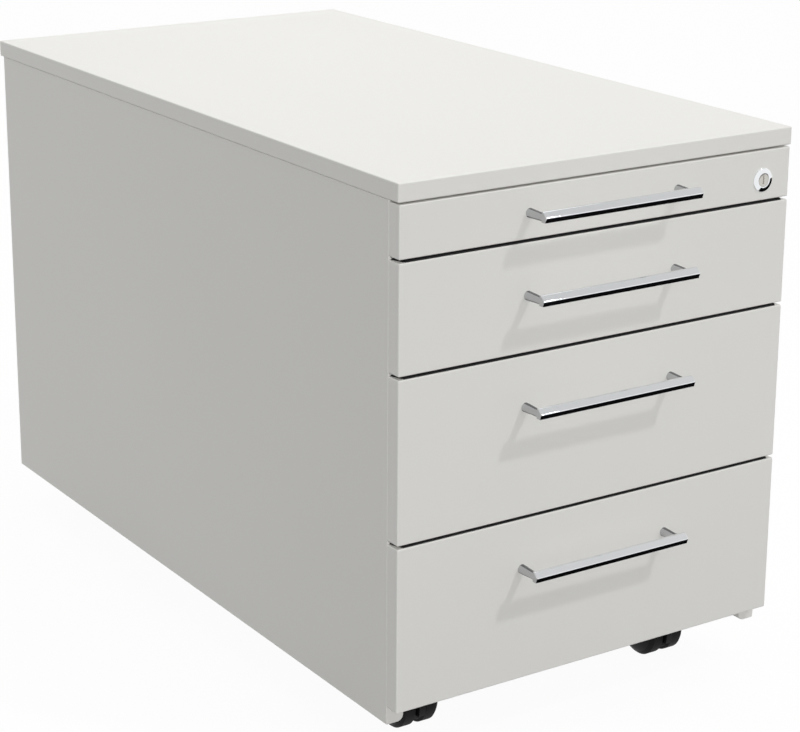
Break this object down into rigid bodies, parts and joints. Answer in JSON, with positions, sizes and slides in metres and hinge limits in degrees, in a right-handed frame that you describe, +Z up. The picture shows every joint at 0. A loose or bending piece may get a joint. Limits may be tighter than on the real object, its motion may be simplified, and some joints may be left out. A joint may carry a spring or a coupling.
{
  "type": "mobile drawer pedestal",
  "caption": "White steel office pedestal on castors: a shallow pen drawer over deeper drawers that run on ball slides, with bow handles and a central lock.",
  "frame": {"origin": "on the floor, in the middle of the box round the whole pedestal with its drawers shut", "axes": "+X to the right of a person facing the fronts, +Y from the fronts to the back, +Z up"},
  "size_m": [0.4304, 0.8299, 0.538],
  "materials": {
    "white_paint": "satin white powder coat",
    "grey_paint": "satin light grey powder coat",
    "zinc_steel": "zinc plated",
    "bright_steel": "bright rolled steel",
    "chrome": "bright chrome plate",
    "nickel": "satin nickel plate",
    "dark_plastic": "fine-grained dark moulding",
    "black_plastic": "black moulding",
    "wheel_plastic": "black moulding with a soft tread"
  },
  "bodies": {
    "carcass": {"top_panel": "white_paint", "left_side_panel": "white_paint", "right_side_panel": "white_paint", "back_panel": "white_paint", "base_panel": "white_paint", "tray_hangers": "grey_paint", "cabinet_rails": "zinc_steel", "castor_sockets": "zinc_steel", "castor_screws": "zinc_steel", "lock_bar_guides": "dark_plastic"},
    "drawer_1": {"drawer_1_front": "white_paint", "drawer_1_tub": "grey_paint", "drawer_1_handle": "chrome", "drawer_1_handle_screws": "zinc_steel", "drawer_1_rails": "zinc_steel", "drawer_1_catch": "zinc_steel", "pencil_tray": "dark_plastic", "lock_housing": "chrome", "lock_nut": "zinc_steel"},
    "drawer_1_balls": {"drawer_1_ball_strips": "bright_steel"},
    "drawer_2": {"drawer_2_front": "white_paint", "drawer_2_tub": "grey_paint", "drawer_2_handle": "chrome", "drawer_2_handle_screws": "zinc_steel", "drawer_2_rails": "zinc_steel"},
    "drawer_2_balls": {"drawer_2_ball_strips": "bright_steel"},
    "drawer_3": {"drawer_3_front": "white_paint", "drawer_3_tub": "grey_paint", "drawer_3_handle": "chrome", "drawer_3_handle_screws": "zinc_steel", "drawer_3_rails": "zinc_steel"},
    "drawer_3_balls": {"drawer_3_ball_strips": "bright_steel"},
    "drawer_4": {"drawer_4_front": "white_paint", "drawer_4_tub": "grey_paint", "drawer_4_handle": "chrome", "drawer_4_handle_screws": "zinc_steel", "drawer_4_rails": "zinc_steel"},
    "drawer_4_balls": {"drawer_4_ball_strips": "bright_steel"},
    "key_plug": {"lock_plug": "nickel"},
    "locking_bar": {"lock_bar": "zinc_steel", "lock_bar_studs": "zinc_steel", "lock_bar_driver": "dark_plastic"},
    "castor_front_left": {"castor_front_left_hood": "black_plastic", "castor_front_left_axle": "zinc_steel"},
    "castor_front_left_left_roller": {"castor_front_left_wheel_left": "wheel_plastic"},
    "castor_front_left_right_roller": {"castor_front_left_wheel_right": "wheel_plastic"},
    "castor_front_right": {"castor_front_right_hood": "black_plastic", "castor_front_right_axle": "zinc_steel"},
    "castor_front_right_left_roller": {"castor_front_right_wheel_left": "wheel_plastic"},
    "castor_front_right_right_roller": {"castor_front_right_wheel_right": "wheel_plastic"},
    "castor_rear_left": {"castor_rear_left_hood": "black_plastic", "castor_rear_left_axle": "zinc_steel"},
    "castor_rear_left_left_roller": {"castor_rear_left_wheel_left": "wheel_plastic"},
    "castor_rear_left_right_roller": {"castor_rear_left_wheel_right": "wheel_plastic"},
    "castor_rear_right": {"castor_rear_right_hood": "black_plastic", "castor_rear_right_axle": "zinc_steel"},
    "castor_rear_right_left_roller": {"castor_rear_right_wheel_left": "wheel_plastic"},
    "castor_rear_right_right_roller": {"castor_rear_right_wheel_right": "wheel_plastic"}
  },
  "joints": [
    {"name": "drawer_1_slide", "type": "slide", "parent": "carcass", "child": "drawer_1", "axis": [0, -1, 0], "range_m": [0, 0.525]},
    {"name": "drawer_1_balls_slide", "type": "slide", "parent": "carcass", "child": "drawer_1_balls", "axis": [0, -1, 0], "range_m": [0, 0.2625]},
    {"name": "drawer_2_slide", "type": "slide", "parent": "carcass", "child": "drawer_2", "axis": [0, -1, 0], "range_m": [0, 0.525]},
    {"name": "drawer_2_balls_slide", "type": "slide", "parent": "carcass", "child": "drawer_2_balls", "axis": [0, -1, 0], "range_m": [0, 0.2625]},
    {"name": "drawer_3_slide", "type": "slide", "parent": "carcass", "child": "drawer_3", "axis": [0, -1, 0], "range_m": [0, 0.525]},
    {"name": "drawer_3_balls_slide", "type": "slide", "parent": "carcass", "child": "drawer_3_balls", "axis": [0, -1, 0], "range_m": [0, 0.2625]},
    {"name": "drawer_4_slide", "type": "slide", "parent": "carcass", "child": "drawer_4", "axis": [0, -1, 0], "range_m": [0, 0.525]},
    {"name": "drawer_4_balls_slide", "type": "slide", "parent": "carcass", "child": "drawer_4_balls", "axis": [0, -1, 0], "range_m": [0, 0.2625]},
    {"name": "key_turn", "type": "hinge", "parent": "drawer_1", "child": "key_plug", "pos_m": [0.182, -0.385, 0.492], "axis": [0, -1, 0], "range_deg": [0, 90]},
    {"name": "bar_lift", "type": "slide", "parent": "carcass", "child": "locking_bar", "axis": [0, 0, 1], "range_m": [0, 0.00848]},
    {"name": "castor_front_left_swivel", "type": "hinge", "parent": "carcass", "child": "castor_front_left", "pos_m": [-0.146, -0.32, 0.0595], "axis": [0, 0, 1], "continuous": true},
    {"name": "castor_front_left_left_roll", "type": "hinge", "parent": "castor_front_left", "child": "castor_front_left_left_roller", "pos_m": [-0.1605, -0.298, 0.025], "axis": [1, 0, 0], "continuous": true},
    {"name": "castor_front_left_right_roll", "type": "hinge", "parent": "castor_front_left", "child": "castor_front_left_right_roller", "pos_m": [-0.1315, -0.298, 0.025], "axis": [1, 0, 0], "continuous": true},
    {"name": "castor_front_right_swivel", "type": "hinge", "parent": "carcass", "child": "castor_front_right", "pos_m": [0.146, -0.32, 0.0595], "axis": [0, 0, 1], "continuous": true},
    {"name": "castor_front_right_left_roll", "type": "hinge", "parent": "castor_front_right", "child": "castor_front_right_left_roller", "pos_m": [0.1315, -0.298, 0.025], "axis": [1, 0, 0], "continuous": true},
    {"name": "castor_front_right_right_roll", "type": "hinge", "parent": "castor_front_right", "child": "castor_front_right_right_roller", "pos_m": [0.1605, -0.298, 0.025], "axis": [1, 0, 0], "continuous": true},
    {"name": "castor_rear_left_swivel", "type": "hinge", "parent": "carcass", "child": "castor_rear_left", "pos_m": [-0.146, 0.336, 0.0595], "axis": [0, 0, 1], "continuous": true},
    {"name": "castor_rear_left_left_roll", "type": "hinge", "parent": "castor_rear_left", "child": "castor_rear_left_left_roller", "pos_m": [-0.1605, 0.358, 0.025], "axis": [1, 0, 0], "continuous": true},
    {"name": "castor_rear_left_right_roll", "type": "hinge", "parent": "castor_rear_left", "child": "castor_rear_left_right_roller", "pos_m": [-0.1315, 0.358, 0.025], "axis": [1, 0, 0], "continuous": true},
    {"name": "castor_rear_right_swivel", "type": "hinge", "parent": "carcass", "child": "castor_rear_right", "pos_m": [0.146, 0.336, 0.0595], "axis": [0, 0, 1], "continuous": true},
    {"name": "castor_rear_right_left_roll", "type": "hinge", "parent": "castor_rear_right", "child": "castor_rear_right_left_roller", "pos_m": [0.1315, 0.358, 0.025], "axis": [1, 0, 0], "continuous": true},
    {"name": "castor_rear_right_right_roll", "type": "hinge", "parent": "castor_rear_right", "child": "castor_rear_right_right_roller", "pos_m": [0.1605, 0.358, 0.025], "axis": [1, 0, 0], "continuous": true}
  ],
  "couplings": [
    {"joint": "drawer_1_balls_slide", "follows": "drawer_1_slide", "ratio": 0.5},
    {"joint": "drawer_2_balls_slide", "follows": "drawer_2_slide", "ratio": 0.5},
    {"joint": "drawer_3_balls_slide", "follows": "drawer_3_slide", "ratio": 0.5},
    {"joint": "drawer_4_balls_slide", "follows": "drawer_4_slide", "ratio": 0.5},
    {"joint": "key_turn", "follows": "bar_lift", "rad_per_m": 185.12}
  ]
}
